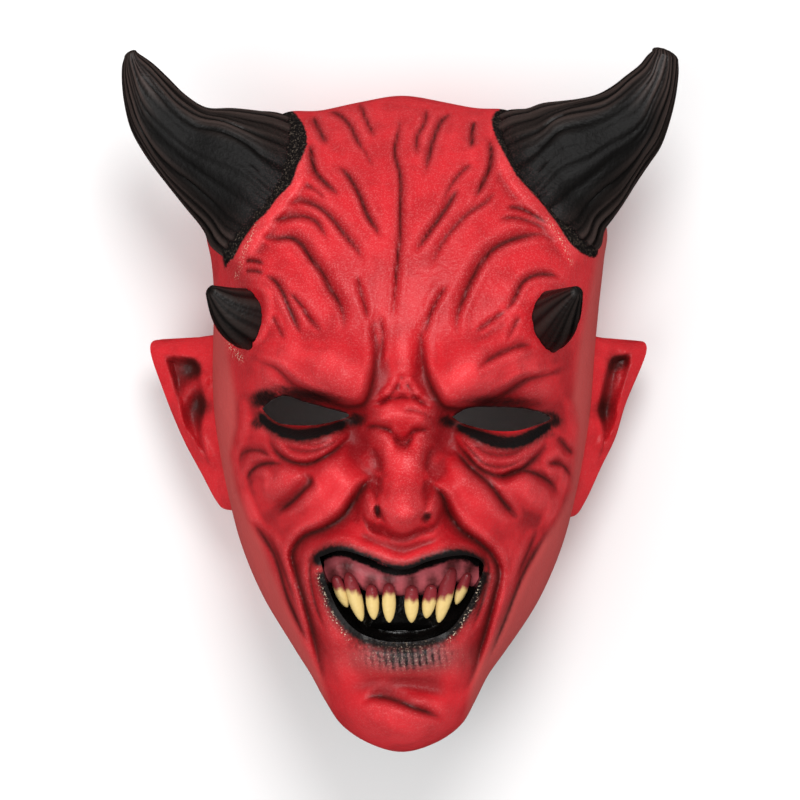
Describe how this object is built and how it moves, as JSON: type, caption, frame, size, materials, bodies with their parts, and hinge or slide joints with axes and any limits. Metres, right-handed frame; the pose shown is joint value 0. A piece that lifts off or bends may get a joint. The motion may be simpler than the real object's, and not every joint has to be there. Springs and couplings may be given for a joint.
{
  "type": "devil mask",
  "caption": "Hollow latex devil face mask with pointed ears, large and small horns, open eye holes and a snarling toothed mouth.",
  "frame": {"origin": "middle of the rectangle that the mask covers on the table, at the level of its back rim", "axes": "+X to the viewer's right of the face, +Y from the chin towards the crown and horns, +Z out of the face"},
  "size_m": [0.2026, 0.254, 0.1381],
  "materials": {
    "latex": "satin red latex with dark paint in the creases, glossy black horns and cream teeth"
  },
  "bodies": {
    "root": {"devil_mask": "latex"}
  },
  "joints": []
}
